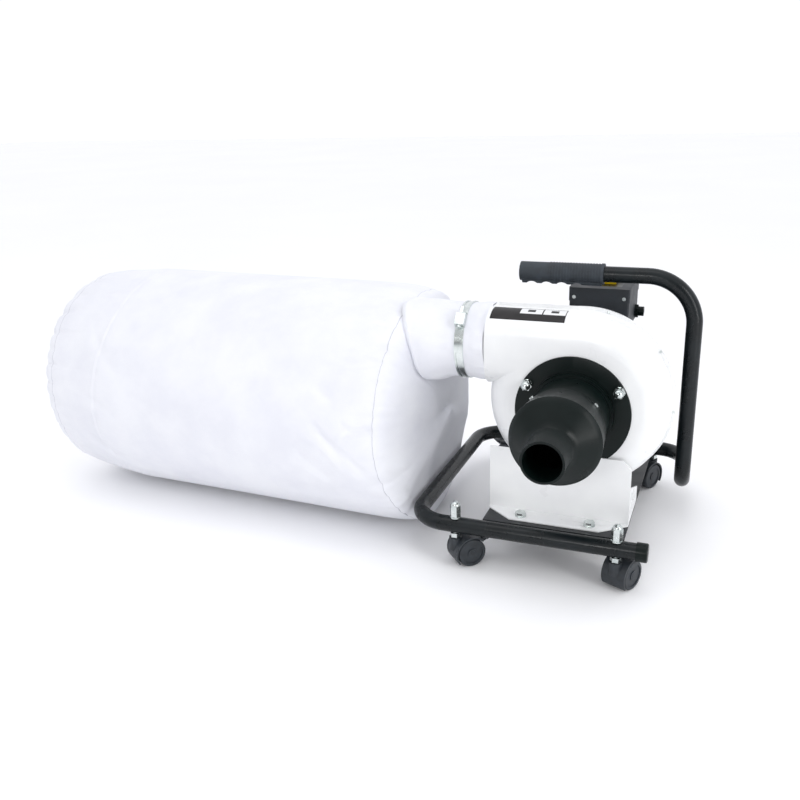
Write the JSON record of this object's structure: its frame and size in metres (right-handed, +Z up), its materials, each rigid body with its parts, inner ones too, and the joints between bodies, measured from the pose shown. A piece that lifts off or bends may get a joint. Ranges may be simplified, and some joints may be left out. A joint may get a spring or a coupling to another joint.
{
  "type": "portable dust collector",
  "caption": "Small portable dust collector: centrifugal fan on a tube frame with castors, reducing inlet nozzle, carry handle with rubber grip, and a cloth filter bag clamped to the outlet.",
  "frame": {"origin": "centre of the bounding box, on the floor", "axes": "+X along the machine from the bag to the fan, -Y the side of the inlet nozzle, +Z up"},
  "size_m": [0.996, 0.5106, 0.3821],
  "materials": {
    "frame_powder": "black powder coat, fine orange peel",
    "housing_paint": "white powder coat, semi-gloss",
    "plate_paint": "black powder coat",
    "black_plastic": "black moulded plastic, fine texture",
    "box_plastic": "dark blue-grey moulded plastic",
    "grip_rubber": "matt ribbed rubber",
    "zinc": "bright zinc plate",
    "cast_alloy": "cast aluminium alloy",
    "motor_paint": "dark grey enamel",
    "winding": "varnished copper windings on an iron core",
    "steel": "ground steel",
    "bag_cloth": "white needle felt filter cloth",
    "caster_nylon": "dark grey nylon",
    "button_green": "green moulded plastic",
    "button_red": "red moulded plastic",
    "flap_yellow": "yellow moulded plastic",
    "label": "printed film",
    "capacitor_white": "white plastic can"
  },
  "bodies": {
    "base": {"base_frame_tube": "frame_powder", "handle_tube": "frame_powder", "frame_end_cap": "black_plastic", "handle_grip": "grip_rubber", "base_plate": "plate_paint", "fan_bracket": "housing_paint", "housing_front_shell": "housing_paint", "housing_rear_shell": "housing_paint", "housing_rivets": "zinc", "outlet_spigot": "housing_paint", "pictogram_label": "label", "inlet_flange": "black_plastic", "inlet_flange_bolts": "zinc", "motor_stator": "winding", "motor_housing": "motor_paint", "motor_front_bell": "cast_alloy", "motor_rear_bell": "cast_alloy", "motor_bearings": "steel", "motor_fan_cover": "motor_paint", "motor_flange_bolts": "zinc", "motor_foot": "plate_paint", "switch_box_base": "box_plastic", "switch_box_cover": "box_plastic", "switch_cover_screws": "zinc", "switch_face": "black_plastic", "cable_gland": "black_plastic", "run_capacitor": "capacitor_white", "filter_bag": "bag_cloth", "bag_sleeve": "bag_cloth", "hose_clamp": "zinc", "deck_bolts": "zinc", "hex_nuts": "zinc", "caster_stems": "steel", "caster_washers": "zinc", "caster_acorn_nuts": "zinc"},
    "rotor": {"impeller": "cast_alloy", "impeller_nut": "zinc", "motor_shaft": "steel", "motor_rotor": "steel", "motor_cooling_fan": "black_plastic"},
    "adapter": {"reducer_adapter": "black_plastic", "adapter_screws": "zinc"},
    "stop_flap": {"stop_flap": "flap_yellow"},
    "start_button": {"start_button": "button_green"},
    "stop_button": {"stop_button": "button_red"},
    "clamp_screw": {"clamp_screw": "zinc"},
    "caster_fl_swivel": {"caster_fl_body": "caster_nylon", "caster_fl_axle": "steel"},
    "caster_fl_wheels": {"caster_fl_wheels": "caster_nylon"},
    "caster_fl_brake": {"caster_fl_brake": "caster_nylon"},
    "caster_fr_swivel": {"caster_fr_body": "caster_nylon", "caster_fr_axle": "steel"},
    "caster_fr_wheels": {"caster_fr_wheels": "caster_nylon"},
    "caster_rr_swivel": {"caster_rr_body": "caster_nylon", "caster_rr_axle": "steel"},
    "caster_rr_wheels": {"caster_rr_wheels": "caster_nylon"},
    "caster_rl_swivel": {"caster_rl_body": "caster_nylon", "caster_rl_axle": "steel"},
    "caster_rl_wheels": {"caster_rl_wheels": "caster_nylon"},
    "caster_rl_brake": {"caster_rl_brake": "caster_nylon"}
  },
  "joints": [
    {"name": "rotor_spin", "type": "hinge", "parent": "base", "child": "rotor", "pos_m": [0.35395, 0.06615, 0.218], "axis": [0, 1, 0], "continuous": true},
    {"name": "adapter_pull", "type": "slide", "parent": "base", "child": "adapter", "axis": [0, -1, 0], "range_m": [0, 0.06]},
    {"name": "flap_hinge", "type": "hinge", "parent": "base", "child": "stop_flap", "pos_m": [0.35395, 0.17215, 0.347], "axis": [1, 0, 0], "range_deg": [-100, 0]},
    {"name": "start_press", "type": "slide", "parent": "base", "child": "start_button", "axis": [0, 0, -1], "range_m": [0, 0.0018], "stiffness_N_per_m": 400, "springref_m": -0.002},
    {"name": "stop_press", "type": "slide", "parent": "base", "child": "stop_button", "axis": [0, 0, -1], "range_m": [0, 0.0018], "stiffness_N_per_m": 400, "springref_m": -0.002},
    {"name": "clamp_screw_turn", "type": "hinge", "parent": "base", "child": "clamp_screw", "pos_m": [0.20095, -0.07161, 0.32836], "axis": [0, 0.6691, 0.7431], "continuous": true},
    {"name": "caster_fl_turn", "type": "hinge", "parent": "base", "child": "caster_fl_swivel", "pos_m": [0.21195, -0.13385, 0.04], "axis": [0, 0, 1], "continuous": true},
    {"name": "caster_fl_roll", "type": "hinge", "parent": "caster_fl_swivel", "child": "caster_fl_wheels", "pos_m": [0.22533, -0.12181, 0.02], "axis": [-0.6691, 0.7431, 0], "continuous": true},
    {"name": "caster_fl_brake_press", "type": "hinge", "parent": "caster_fl_swivel", "child": "caster_fl_brake", "pos_m": [0.2413, -0.10742, 0.034], "axis": [-0.6691, 0.7431, 0], "range_deg": [0, 20]},
    {"name": "caster_fr_turn", "type": "hinge", "parent": "base", "child": "caster_fr_swivel", "pos_m": [0.42575, -0.13385, 0.04], "axis": [0, 0, 1], "continuous": true},
    {"name": "caster_fr_roll", "type": "hinge", "parent": "caster_fr_swivel", "child": "caster_fr_wheels", "pos_m": [0.43336, -0.11754, 0.02], "axis": [-0.9063, 0.4226, 0], "continuous": true},
    {"name": "caster_rr_turn", "type": "hinge", "parent": "base", "child": "caster_rr_swivel", "pos_m": [0.43195, 0.21965, 0.04], "axis": [0, 0, 1], "continuous": true},
    {"name": "caster_rr_roll", "type": "hinge", "parent": "caster_rr_swivel", "child": "caster_rr_wheels", "pos_m": [0.4235, 0.20376, 0.02], "axis": [0.8829, -0.4695, 0], "continuous": true},
    {"name": "caster_rl_turn", "type": "hinge", "parent": "base", "child": "caster_rl_swivel", "pos_m": [0.21195, 0.21965, 0.04], "axis": [0, 0, 1], "continuous": true},
    {"name": "caster_rl_roll", "type": "hinge", "parent": "caster_rl_swivel", "child": "caster_rl_wheels", "pos_m": [0.19636, 0.22865, 0.02], "axis": [-0.5, -0.866, 0], "continuous": true},
    {"name": "caster_rl_brake_press", "type": "hinge", "parent": "caster_rl_swivel", "child": "caster_rl_brake", "pos_m": [0.17774, 0.2394, 0.034], "axis": [-0.5, -0.866, 0], "range_deg": [0, 20]}
  ]
}
